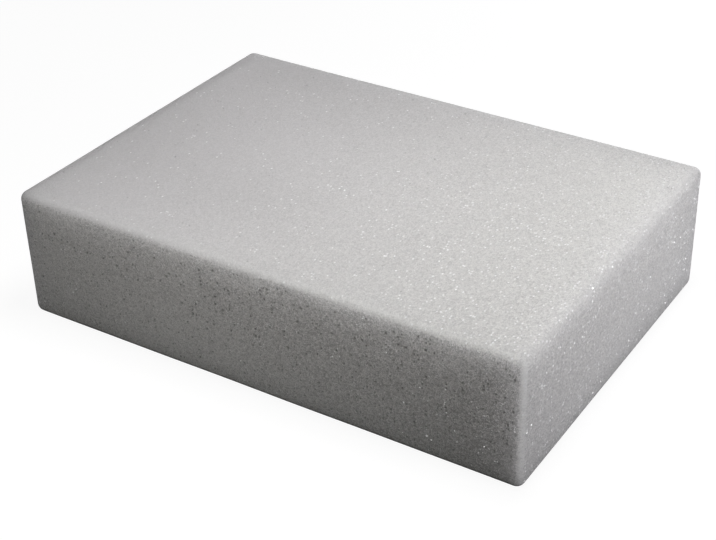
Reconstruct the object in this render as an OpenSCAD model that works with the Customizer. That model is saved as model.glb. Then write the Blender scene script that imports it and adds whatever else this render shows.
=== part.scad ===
// A block of soft open-cell foam, cut from a sheet, with every edge and corner softly rounded.
// Millimetres. The block lies flat: X runs along its length, Y across its width and Z up through
// its thickness. The origin is the centre of its underside.

/* [Block] */
// Length of the block
block_l = 200; // [60:1:420]
// Width of the block
block_w = 140; // [40:1:300]
// Thickness of the block, which is that of the sheet
block_h = 50; // [20:1:120]

/* [Edges] */
// Radius of the rounding on every edge and corner
edge_r = 4; // [1:0.5:9]

/* [Hidden] */

$fn = 64;
foam_grey = [0.78, 0.77, 0.76];

// The ends of a length that is centred on the origin
function ends(length) = [-length / 2, length / 2];

// A solid of the given size, centred, as a ball of radius r fills it when it rolls round the inside:
// a slab between each pair of faces, a rod along each edge and a ball in each corner
module soft_block(size, r) {
    core = [for (side = size) side - 2 * r];

    for (across = [0:2])
        cube([for (i = [0:2]) i == across ? size[i] : core[i]], center = true);

    for (y = ends(core[1]), z = ends(core[2]))
        translate([0, y, z]) rotate([0, 90, 0]) cylinder(h = core[0], r = r, center = true);

    for (x = ends(core[0]), z = ends(core[2]))
        translate([x, 0, z]) rotate([90, 0, 0]) cylinder(h = core[1], r = r, center = true);

    for (x = ends(core[0]), y = ends(core[1]))
        translate([x, y, 0]) cylinder(h = core[2], r = r, center = true);

    for (x = ends(core[0]), y = ends(core[1]), z = ends(core[2]))
        translate([x, y, z]) sphere(r = r);
}

// The block, lying on its underside
module foam_block() {
    color(foam_grey)
        translate([0, 0, block_h / 2])
            soft_block([block_l, block_w, block_h], edge_r);
}

foam_block();
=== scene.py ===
# A block of soft open-cell foam, cut from a sheet, lying on a pale studio floor.
import math
import random

import bmesh
import bpy
from mathutils import Euler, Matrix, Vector, noise


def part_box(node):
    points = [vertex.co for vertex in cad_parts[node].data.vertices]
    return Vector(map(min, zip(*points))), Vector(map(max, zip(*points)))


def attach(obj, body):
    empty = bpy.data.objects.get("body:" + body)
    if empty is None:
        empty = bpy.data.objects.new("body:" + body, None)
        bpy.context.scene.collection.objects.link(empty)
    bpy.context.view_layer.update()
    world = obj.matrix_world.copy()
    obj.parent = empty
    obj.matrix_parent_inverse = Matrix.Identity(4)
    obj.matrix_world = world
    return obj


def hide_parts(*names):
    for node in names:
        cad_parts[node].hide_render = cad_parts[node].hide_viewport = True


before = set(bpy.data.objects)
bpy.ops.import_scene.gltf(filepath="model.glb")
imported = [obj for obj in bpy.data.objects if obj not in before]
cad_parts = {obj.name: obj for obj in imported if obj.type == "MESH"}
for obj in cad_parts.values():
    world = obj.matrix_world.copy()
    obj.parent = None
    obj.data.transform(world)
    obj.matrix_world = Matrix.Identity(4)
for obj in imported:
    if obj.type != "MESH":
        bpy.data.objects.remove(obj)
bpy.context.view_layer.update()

MM = 0.001

# The block: its edges are softly rounded, and it is diced finely enough to hold its pores
BOX_FACES = 6
EDGE_ROUNDING = 3.2 * MM
EDGE_STEPS = 6
FACET = 1.45 * MM
LONG_EDGE = 4 * FACET
DICE_SHIFT = 0.28 * MM
DICE_SEED = 7

# The cut faces: long shallow waves left by the saw, and small lumps, read from elsewhere in the noise
WAVE_LENGTH = 34 * MM
WAVE_DEPTH = 0.16 * MM
LUMP_LENGTH = 2.6 * MM
LUMP_DEPTH = 0.10 * MM
LUMP_PLACE = Vector((9, 4, 2))

# How squarely a point faces one way: it is on a rounding below the first value and on a flat face above
# the second. What faces down more squarely than the third is the underside, which stays flat.
FLATNESS = (0.80, 0.99)
UNDERSIDE = -0.99

# Each cut has its own look: across the two ends, across the two long sides, and over the top and underside
CUT_COARSENESS = Vector((0.26, 1.0, 0.14))
CUT_GLOSS = Vector((0.55, 0.56, 0.04))

# The share of its coarseness that a cut keeps on the roundings, and how much glossier the ends grow with
# each metre behind the middle
ROUNDED_COARSENESS = 0.3
BACK_GLOSS = 6.5

# How much lighter, or darker, the foam is painted where two faces round over into each other: the way
# the edge faces, the change along its middle, and how narrow its band is. This is painted light and shade:
# a painted highlight on the near upright edge and on the top's front edge, painted shade on the top's
# right edge, and a painted dark outline along the other four.
PAINTED_EDGE_LIGHT_AND_SHADE = (
    ((1, -1, 0), 0.66, 3),
    ((0, -1, 1), 0.20, 1),
    ((1, 0, 1), -0.16, 1),
    ((0, 1, 1), -0.50, 2),
    ((-1, 0, 1), -0.30, 3),
    ((1, 1, 0), -0.60, 2),
    ((-1, -1, 0), -0.70, 3),
)

# Paler and darker places that fade out, as painted light and shade: where, how far each reaches, and the
# change at its middle
PAINTED_PATCHES = (
    # On the top
    (Vector((-0.100, -0.070, 0.050)), 25 * MM, -0.14),
    (Vector((-0.090, 0.000, 0.050)), 60 * MM, -0.16),
    (Vector((-0.070, -0.060, 0.050)), 60 * MM, -0.11),
    (Vector((-0.075, 0.070, 0.050)), 25 * MM, -0.14),
    (Vector((-0.050, 0.000, 0.050)), 35 * MM, 0.05),
    (Vector((-0.025, -0.035, 0.050)), 25 * MM, -0.07),
    (Vector((-0.025, 0.070, 0.050)), 50 * MM, -0.16),
    (Vector((0.030, -0.055, 0.050)), 35 * MM, -0.05),
    (Vector((0.100, 0.070, 0.050)), 25 * MM, -0.07),
    # On the front
    (Vector((-0.100, -0.070, 0.005)), 20 * MM, -0.14),
    (Vector((-0.100, -0.070, 0.030)), 30 * MM, 0.20),
    (Vector((-0.055, -0.070, 0.020)), 45 * MM, 0.10),
    (Vector((-0.025, -0.070, 0.000)), 35 * MM, 0.17),
    (Vector((0.100, -0.070, 0.000)), 35 * MM, -0.32),
    # On the right end
    (Vector((0.100, 0.000, 0.020)), 35 * MM, 0.07),
    (Vector((0.100, 0.035, 0.000)), 35 * MM, 0.09),
    (Vector((0.100, 0.050, 0.030)), 38 * MM, 0.16),
    (Vector((0.100, 0.070, 0.000)), 25 * MM, 0.19),
)

# A painted contact shadow: a dark line along the lower roundings. It fades in over the first pair of values
# and out over the second, where 0 faces sideways and 1 faces straight down.
PAINTED_CONTACT_SHADOW_START = (0.30, 0.52)
PAINTED_CONTACT_SHADOW_END = (0.85, 0.98)
PAINTED_CONTACT_SHADOW_DARKNESS = 0.95

# The open pores, in classes from the commonest: share of facets, rim left round the mouth, depth
PORES = (
    (0.080, 0.42 * MM, 0.35 * MM),
    (0.060, 0.36 * MM, 0.50 * MM),
    (0.025, 0.29 * MM, 0.65 * MM),
    (0.006, 0.20 * MM, 0.90 * MM),
)
PORE_WALL = 0.08 * MM
PORE_SEED = 11

# How much commoner the pores grow with each metre to the right. A facet can hold one if it is this many
# rims wide and faces one way this squarely.
PORE_TREND = 3
MOUTH_ROOM = 2.2
FLAT_FACET = 0.985

# The foam's colours, from the darkest cell walls to the palest, which differ a little from end to end: the
# palest holds a painted tint of cool light at the left end and of warm light at the right
FOAM_LOW_COLOUR = (0.440, 0.432, 0.430, 1)
FOAM_HIGH_LEFT_COOL_LIGHT_COLOUR = (0.970, 0.942, 0.966, 1)
FOAM_HIGH_RIGHT_WARM_LIGHT_COLOUR = (0.946, 0.942, 0.910, 1)
# Painted shade for the bottoms of the pores and for the open cells
PORE_SHADE_COLOUR = (0.34, 0.335, 0.33, 1)
# The painted glint of the cell skins
SKIN_GLINT_COLOUR = (1.0, 1.0, 1.0, 1)
# The colour of the painted contact shadow
PAINTED_CONTACT_SHADOW_COLOUR = (0.05, 0.05, 0.05, 1)

# The way along the block, and what it gives at the left end and at the right one
ALONG = (8.0, 0.0, 0.0)
ALONG_ENDS = (-0.8, 0.8)

# The cells: their size, how much longer they are one way, where a rim rises round the bowl, how deeply cut
# a cell is to show open, and how dark its painted shade then is
CELL = 0.60 * MM
CELL_STRETCH = 1.5
CELL_RIM = (0.12, 0.60)
CELL_OPEN = (0.35, 1.0)
OPEN_CELL_SHADE = 0.65

# The grain of the cell walls, and looser and tighter patches of foam
GRAIN = 0.34 * MM
PATCH = 7 * MM
FINER_NOISE = 0.6

# How much the grain and the cells speckle the foam: everywhere, more on a coarse cut, and more to the right
GRAIN_TONE = 1.7
CELL_TONE = 0.5
CONTRAST = 0.24
CONTRAST_COARSE = 1.06
CONTRAST_ALONG = 0.28

# The cell skins: how far apart they may lie, how wide they are, how far they tilt, and the faintest painted
# glint of one
SKIN_SPACING = 1.0 * MM
SKIN_EDGE = (0.22, 0.37)
SKIN_TILT = 1.3
SKIN_FAINTEST = 0.5

# The share of cells that keep a skin, whose white is a painted glint: everywhere, and more of them on a
# coarse cut, towards the right end where the lamps make them glint (but hardly on a coarse cut), in loose
# patches, and where the cut is glossiest
SKIN_SHARE = 0.025
SKIN_SHARE_COARSE = 0.165
SKIN_SHARE_RIGHT = 0.36
SKIN_SHARE_RIGHT_COARSE = -0.31
SKIN_SHARE_PATCH = 0.9
SKIN_SHARE_GLOSSY = 0.12
SKIN_RIGHT = (-0.25, 1.0)
SKIN_GLOSSY = (0.6, 1.0)

# The surface: the height of its rims, grain and patches, its roughness, and how deep light soaks in
BUMP_DISTANCE = 0.16 * MM
BUMP_STRENGTH = 0.45
BUMP_COARSE = 0.35
LOWEST_RIM = 0.35
GRAIN_HEIGHT = 0.8
PATCH_HEIGHT = 0.6
ROUGHNESS = 0.85
SKIN_SMOOTHNESS = 0.55
SCATTER = 0.9
SCATTER_DEPTH = 35 * MM

# The floor and the room: the floor's own grey, its glow, and what little light they give the block
FLOOR_SIZE = 3.0
FLOOR_GREY = (0.15, 0.15, 0.15, 1)
FLOOR_GLOW = 0.92
FLOOR_UNSEEN_GREY = (0.03, 0.03, 0.03, 1)
ROOM_UNSEEN_GLOW = 0.03
WHITE_LIGHT = (1, 1, 1, 1)

# The lamps: name, place, what each points at, power and tint. All are squares of one width.
LAMP_WIDTH = 0.15
MIDDLE = (0.0, 0.0, 0.03)
FRONT_FACE = (0.0, -0.05, 0.03)
UNDER_TOP_LAMP = (0.05, 0.0, 0.0)
WARM = (1.0, 0.995, 0.955)
WHITE = (1.0, 0.994, 0.995)
COOL = (1.0, 0.988, 1.025)
LAMPS = (
    ("top_lamp", (0.05, 0.0, 0.40), UNDER_TOP_LAMP, 0.86, WHITE),
    ("right_lamp", (0.490, -0.043, 0.117), MIDDLE, 0.74, COOL),
    ("back_right_lamp", (0.268, 0.125, 0.082), MIDDLE, 0.065, COOL),
    ("front_lamp", (0.0, -0.25, 0.15), FRONT_FACE, 0.075, WARM),
    ("front_left_lamp", (-0.05, -0.35, 0.10), FRONT_FACE, 0.083, WARM),
    ("back_lamp", (0.0, 0.492, 0.117), MIDDLE, 0.47, COOL),
    ("left_lamp", (-0.490, 0.043, 0.117), MIDDLE, 0.15, COOL),
)

# The camera looks down at the block from its front right
CAMERA_PLACE = (0.2579, -0.3989, 0.3122)
CAMERA_TURN = math.radians(30.48)
CAMERA_DIP = math.radians(32.34)
CAMERA_LENS = 76.83
CAMERA_SENSOR = 36
CAMERA_SHIFT = -0.0889


class Shade:
    """A socket in a node tree. Sums, products and the like of values add Math nodes."""

    def __init__(self, tree, socket=None):
        self.tree = tree
        self.socket = socket

    def node(self, kind, settings=None, sockets=None, output=0):
        """Adds a node, sets it up, then fills its sockets with numbers or links."""
        added = self.tree.nodes.new(kind)
        for name, value in (settings or {}).items():
            setattr(added, name, value)
        for name, value in (sockets or {}).items():
            if isinstance(value, Shade):
                self.tree.links.new(value.socket, added.inputs[name])
            else:
                added.inputs[name].default_value = value
        return Shade(self.tree, added.outputs[output])

    def math(self, operation, *values):
        """A Math node on these values."""
        sockets = dict(enumerate(values))
        return self.node("ShaderNodeMath", {"operation": operation}, sockets)

    def vector_math(self, operation, *values):
        """A Vector Math node on these values."""
        sockets = dict(enumerate(values))
        return self.node("ShaderNodeVectorMath", {"operation": operation}, sockets)

    def __add__(self, other):
        return self.math("ADD", self, other)

    def __sub__(self, other):
        return self.math("SUBTRACT", self, other)

    def __rsub__(self, other):
        return self.math("SUBTRACT", other, self)

    def __mul__(self, other):
        return self.math("MULTIPLY", self, other)

    __radd__ = __add__
    __rmul__ = __mul__

    def __lt__(self, other):
        return self.math("LESS_THAN", self, other)

    def read(self, name):
        """Another output of the node that this socket is on."""
        return Shade(self.tree, self.socket.node.outputs[name])

    def mark(self, name):
        """A number that every point of the mesh carries."""
        return self.node("ShaderNodeAttribute", {"attribute_name": name}).read("Fac")

    def above(self, low, high):
        """0 below the low value, 1 above the high one, and smooth between."""
        settings = {"interpolation_type": "SMOOTHSTEP"}
        sockets = {"Value": self, "From Min": low, "From Max": high}
        return self.node("ShaderNodeMapRange", settings, sockets)

    def blend(self, first, second):
        """Goes from one colour to the other as this value goes from 0 to 1."""
        settings = {"data_type": "RGBA"}
        sockets = {0: self, 6: first, 7: second}
        return self.node("ShaderNodeMix", settings, sockets, output=2)

    def cells(self, size):
        """Cells of one size at this place: how far each one's middle is, and its own chance colour."""
        found = self.node("ShaderNodeTexVoronoi", None, {"Vector": self, "Scale": 1 / size})
        return found.read("Distance"), found.read("Color")

    def grain(self, size, detail):
        """Soft noise of one size at this place, about 0.5."""
        sockets = {"Vector": self, "Scale": 1 / size, "Detail": detail, "Roughness": FINER_NOISE}
        return self.node("ShaderNodeTexNoise", None, sockets)

    def scaled(self, amount):
        """This vector made longer or shorter."""
        return self.node("ShaderNodeVectorMath", {"operation": "SCALE"}, {0: self, "Scale": amount})

    def part(self, name):
        """One of a colour's three parts."""
        return self.node("ShaderNodeSeparateColor", None, {0: self}).read(name)

    def cover(self, output):
        """Makes this shader the whole surface."""
        self.tree.links.new(self.socket, output.inputs["Surface"])


def emptied(owner, output_kind):
    """Clears a material's or a world's nodes: its new output node, and a Shade to build it with."""
    owner.use_nodes = True
    owner.node_tree.nodes.clear()
    return owner.node_tree.nodes.new(output_kind), Shade(owner.node_tree)


def new_material(name):
    """A material with no shader yet, its output node and a Shade to build it with."""
    material = bpy.data.materials.new(name)
    return material, *emptied(material, "ShaderNodeOutputMaterial")


def foam_material():
    """Light grey foam: light soaks into it, cut cells pit it and stray cell skins glint on it."""
    material, output, shade = new_material("open_cell_foam")
    place = shade.node("ShaderNodeTexCoord").read("Object")
    pore_shade = shade.mark("pore_shade")
    coarse = shade.mark("coarseness")
    gloss = shade.mark("gloss")
    painted_shading = shade.mark("painted_light_and_shade")
    painted_contact_shadow = shade.mark("painted_contact_shadow")

    # The cells are a little longer one way, the way that the foam rose
    rise = place.vector_math("MULTIPLY", place, (1.0, 1 / CELL_STRETCH, 1.0))

    # Cut cells: each is a tiny bowl inside a rim of cell walls, and each is cut at its own depth
    middle, chance = rise.cells(CELL)
    depth = chance.part("Red")
    wall = middle.above(*CELL_RIM)
    open_cell = (1 - wall) * depth.above(*CELL_OPEN)

    # The grain of the walls, and looser and tighter patches
    grain = rise.grain(GRAIN, detail=1.0)
    patches = place.grain(PATCH, detail=3.0)

    # Cell skins: some cells keep one, more of them towards the right end, and each has its own tilt. Their
    # white is a painted glint.
    near, pick = rise.cells(SKIN_SPACING)
    along = place.vector_math("DOT_PRODUCT", place, ALONG).read("Value")
    share = SKIN_SHARE + SKIN_SHARE_COARSE * coarse
    share = share + (SKIN_SHARE_RIGHT + SKIN_SHARE_RIGHT_COARSE * coarse) * along.above(*SKIN_RIGHT)
    share = share + SKIN_SHARE_PATCH * (patches - 0.5) + SKIN_SHARE_GLOSSY * gloss.above(*SKIN_GLOSSY)
    skin_glint = (1 - near.above(*SKIN_EDGE)) * (pick.part("Green") < share)
    tilt = pick.vector_math("SUBTRACT", pick, (0.5, 0.5, 0.5))
    tilt = tilt.scaled(skin_glint * SKIN_TILT)

    # The colour: the foam's own, with a painted tint of cool light to the left and of warm light to the
    # right except on the coarse cuts, and painted light and shade on the edges and in patches. Over it go
    # the painted shade of the open cells and the pores, the painted glints of the skins, and the painted
    # contact shadow
    painted_light_tint = 0.5 + (along.above(*ALONG_ENDS) - 0.5) * (1 - coarse)
    high = painted_light_tint.blend(FOAM_HIGH_LEFT_COOL_LIGHT_COLOUR, FOAM_HIGH_RIGHT_WARM_LIGHT_COLOUR)
    contrast = CONTRAST + CONTRAST_COARSE * coarse + CONTRAST_ALONG * along
    speckle = (grain - 0.5) * GRAIN_TONE + (depth - 0.5) * CELL_TONE
    tone = (0.5 + painted_shading + speckle * contrast).blend(FOAM_LOW_COLOUR, high)
    # Painted shade in the open cells and at the bottoms of the pores
    tone = (open_cell * coarse * OPEN_CELL_SHADE).blend(tone, PORE_SHADE_COLOUR)
    tone = pore_shade.blend(tone, PORE_SHADE_COLOUR)
    # The skins' white: a painted glint
    tone = (skin_glint * (SKIN_FAINTEST + (1 - SKIN_FAINTEST) * pick.part("Blue"))).blend(tone, SKIN_GLINT_COLOUR)
    # The painted contact shadow along the lower roundings
    tone = (PAINTED_CONTACT_SHADOW_DARKNESS * painted_contact_shadow).blend(tone, PAINTED_CONTACT_SHADOW_COLOUR)

    # The relief: rims, grain and patches, with each skin tilted its own way
    rims = wall * (LOWEST_RIM + (1 - LOWEST_RIM) * depth)
    height = rims + GRAIN_HEIGHT * grain + PATCH_HEIGHT * patches
    strength = BUMP_STRENGTH + BUMP_COARSE * coarse
    bumped = place.node("ShaderNodeBump", None,
                        {"Strength": strength, "Distance": BUMP_DISTANCE, "Height": height})
    facing = bumped.vector_math("NORMALIZE", bumped.vector_math("ADD", bumped, tilt))

    foam = place.node("ShaderNodeBsdfPrincipled", {"subsurface_method": "RANDOM_WALK"}, {
        "Base Color": tone,
        "Roughness": ROUGHNESS - SKIN_SMOOTHNESS * skin_glint,
        "Metallic": skin_glint * gloss * pick.part("Blue") * pick.part("Blue"),
        "Normal": facing,
        "Subsurface Weight": SCATTER,
        "Subsurface Radius": (1.0, 1.0, 1.0),
        "Subsurface Scale": SCATTER_DEPTH,
    })
    foam.cover(output)
    return material


def order_free_places(block):
    """Makes every run dice the block into the same facets in the same order.

    The bevel leaves a free place in the list of faces for each face of the box that it started from, but
    it frees them in no fixed order. Spare faces fill them, and are taken out from the last to the first.
    """
    spares = [face.copy(verts=False, edges=False) for face in block.faces[:BOX_FACES]]
    block.faces.index_update()
    for spare in sorted(spares, key=lambda face: face.index, reverse=True):
        block.faces.remove(spare)


def rounded_block(low, high):
    """A closed box between two corners, with its edges and corners rounded."""
    block = bmesh.new()
    bmesh.ops.create_cube(block, size=1)
    bmesh.ops.scale(block, vec=high - low, verts=block.verts)
    bmesh.ops.translate(block, vec=(low + high) / 2, verts=block.verts)
    bmesh.ops.bevel(block, geom=block.edges[:], offset=EDGE_ROUNDING, affect="EDGES",
                    segments=EDGE_STEPS, profile=0.5, material=-1)
    order_free_places(block)
    return block


def dice(block):
    """Cuts the flat faces and the rounded edges into facets, one direction after another."""
    for axis in range(3):
        long_edges = [
            edge for edge in block.edges
            if abs(edge.verts[0].co[axis] - edge.verts[1].co[axis]) > LONG_EDGE
        ]
        cuts = round(long_edges[0].calc_length() / FACET) - 1
        bmesh.ops.subdivide_edges(block, edges=long_edges, cuts=cuts, use_grid_fill=True)


def smooth_step(value, low, high):
    """0 below the low value, 1 above the high one, and smooth between."""
    share = min(max((value - low) / (high - low), 0), 1)
    return share * share * (3 - 2 * share)


def painted_light_and_shade(facing):
    """How much lighter the foam is painted on an edge that faces this way: painted light and shade."""
    painted_shading = 0
    for way, change, narrowness in PAINTED_EDGE_LIGHT_AND_SHADE:
        middle = 2 * math.prod(max(side * part, 0) for side, part in zip(way, facing) if side)
        painted_shading += change * middle ** narrowness
    return painted_shading


def painted_patch_light(place):
    """How much lighter the foam is painted at this place, in its soft patches of painted light and shade."""
    return sum(
        change * math.exp(-((place - middle).length / reach) ** 2)
        for middle, reach, change in PAINTED_PATCHES
    )


def weather(block, low, high):
    """Moves every point a little way in and sideways, so that the cut faces look cut and not cast.

    It also marks each point with the look of the cut there. The underside stays flat on what the block
    stands on, and no point leaves the block's box.
    """
    random.seed(DICE_SEED)
    block.normal_update()
    coarseness = block.verts.layers.float.new("coarseness")
    gloss = block.verts.layers.float.new("gloss")
    painted_shading = block.verts.layers.float.new("painted_light_and_shade")
    painted_contact_shadow = block.verts.layers.float.new("painted_contact_shadow")
    moves = []
    for vert in block.verts:
        facing = vert.normal
        spread = Vector([part * part for part in facing])
        flat = smooth_step(max(spread), *FLATNESS)
        kept = ROUNDED_COARSENESS + (1 - ROUNDED_COARSENESS) * flat
        vert[coarseness] = spread.dot(CUT_COARSENESS) * kept
        vert[gloss] = spread.dot(CUT_GLOSS) + BACK_GLOSS * spread.x * max(vert.co.y, 0)
        # Painted light and shade, along the rounded edges and in soft patches
        vert[painted_shading] = painted_light_and_shade(facing) + painted_patch_light(vert.co)
        # The painted contact shadow: a dark line along the lower roundings
        vert[painted_contact_shadow] = smooth_step(-facing.z, *PAINTED_CONTACT_SHADOW_START) * (1 - smooth_step(-facing.z, *PAINTED_CONTACT_SHADOW_END))
        wave = 0.5 + 0.5 * noise.noise(vert.co / WAVE_LENGTH)
        lump = 0.5 + 0.5 * noise.noise(vert.co / LUMP_LENGTH + LUMP_PLACE)
        shift = flat * Vector([random.uniform(-DICE_SHIFT, DICE_SHIFT) for _ in range(3)])
        shift -= shift.dot(facing) * facing
        if facing.z > UNDERSIDE:
            shift -= facing * (wave * WAVE_DEPTH + flat * lump * LUMP_DEPTH)
        moves.append((vert, shift))
    for vert, shift in moves:
        for axis in range(3):
            vert.co[axis] = min(max(vert.co[axis] + shift[axis], low[axis]), high[axis])


def open_pores(block):
    """Sinks a small steep pit in a share of the flat facets, and marks how much painted shade darkens each
    point of it.
    """
    random.seed(PORE_SEED)
    pore_shade = block.verts.layers.float.new("pore_shade")
    coarseness = block.verts.layers.float["coarseness"]
    mouths = [[] for _ in PORES]
    for facet in block.faces:
        first = facet.verts[0]
        draw = random.random() / (first[coarseness] * (1 + PORE_TREND * first.co.x))
        shortest = min(edge.calc_length() for edge in facet.edges)
        if max(abs(part) for part in facet.normal) < FLAT_FACET:
            continue
        for row, (share, rim, _) in enumerate(PORES):
            if draw < share and shortest > MOUTH_ROOM * rim:
                mouths[row].append(facet)
                break
            draw -= share
    for facets, (_, rim, depth) in zip(mouths, PORES):
        bmesh.ops.inset_individual(block, faces=facets, thickness=rim, use_even_offset=True)
        bmesh.ops.inset_individual(block, faces=facets, thickness=PORE_WALL, depth=-depth,
                                   use_even_offset=True)
        for facet in facets:
            for vert in facet.verts:
                vert[pore_shade] = vert[coarseness]


def finished(name, shape, material):
    """Makes a piece of this name from a shape, and puts it in the scene."""
    mesh = bpy.data.meshes.new(name)
    shape.to_mesh(mesh)
    shape.free()
    mesh.materials.append(material)
    piece = bpy.data.objects.new(name, mesh)
    bpy.context.scene.collection.objects.link(piece)
    return piece


def foam_block():
    """The block in place of its plain solid: rounded, diced, weathered and opened up with pores."""
    low, high = (Vector(corner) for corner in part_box("foam_block"))
    block = rounded_block(low, high)
    dice(block)
    weather(block, low, high)
    open_pores(block)
    for face in block.faces:
        face.smooth = True
    piece = finished("foam_block_cut", block, foam_material())
    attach(piece, "root")
    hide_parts("foam_block")


def seen_rays(shade):
    """1 on the rays of the camera, of gloss and of glass, which find a white studio, and 0 on the others."""
    rays = shade.node("ShaderNodeLightPath")
    seen = rays.math("MAXIMUM", rays.read("Is Camera Ray"), rays.read("Is Glossy Ray"))
    return seen.math("MAXIMUM", seen, rays.read("Is Transmission Ray"))


def studio_floor():
    """A pale floor that runs off past the view."""
    material, output, shade = new_material("studio_floor")
    paper = shade.node("ShaderNodeBsdfDiffuse", None, {"Color": FLOOR_GREY})
    glow = shade.node("ShaderNodeEmission", None, {"Color": WHITE_LIGHT, "Strength": FLOOR_GLOW})
    lit = shade.node("ShaderNodeAddShader", None, {0: paper, 1: glow})
    unseen = shade.node("ShaderNodeBsdfDiffuse", None, {"Color": FLOOR_UNSEEN_GREY})
    floor = shade.node("ShaderNodeMixShader", None, {0: seen_rays(shade), 1: unseen, 2: lit})
    floor.cover(output)

    sheet = bmesh.new()
    bmesh.ops.create_grid(sheet, x_segments=1, y_segments=1, size=FLOOR_SIZE)
    finished("studio_floor", sheet, material)


def studio_world():
    """A little soft light from all round, and white where the camera sees past the floor."""
    world = bpy.data.worlds.new("studio")
    bpy.context.scene.world = world
    output, shade = emptied(world, "ShaderNodeOutputWorld")
    around = shade.node("ShaderNodeBackground", None, {"Color": WHITE_LIGHT, "Strength": ROOM_UNSEEN_GLOW})
    white = shade.node("ShaderNodeBackground", None, {"Color": WHITE_LIGHT, "Strength": 1.0})
    room = shade.node("ShaderNodeMixShader", None, {0: seen_rays(shade), 1: around, 2: white})
    room.cover(output)


def softbox(name, place, aim, power, tint):
    """A square area lamp that points at a spot."""
    lamp = bpy.data.lights.new(name, "AREA")
    lamp.shape = "SQUARE"
    lamp.size = LAMP_WIDTH
    lamp.energy = power
    lamp.color = tint
    stand = bpy.data.objects.new(name, lamp)
    stand.location = place
    stand.rotation_euler = (Vector(place) - Vector(aim)).to_track_quat("Z", "Y").to_euler()
    stand.visible_camera = False
    bpy.context.scene.collection.objects.link(stand)


def camera():
    """The camera that the scene is seen through."""
    view = bpy.data.cameras.new("camera")
    view.sensor_width = CAMERA_SENSOR
    view.lens = CAMERA_LENS
    view.shift_x = CAMERA_SHIFT
    stand = bpy.data.objects.new("camera", view)
    stand.location = CAMERA_PLACE
    stand.rotation_euler = Euler((math.pi / 2 - CAMERA_DIP, 0, CAMERA_TURN))
    bpy.context.scene.collection.objects.link(stand)
    bpy.context.scene.camera = stand


foam_block()
studio_floor()
studio_world()
for lamp in LAMPS:
    softbox(*lamp)
camera()
bpy.context.scene.view_settings.view_transform = "Standard"
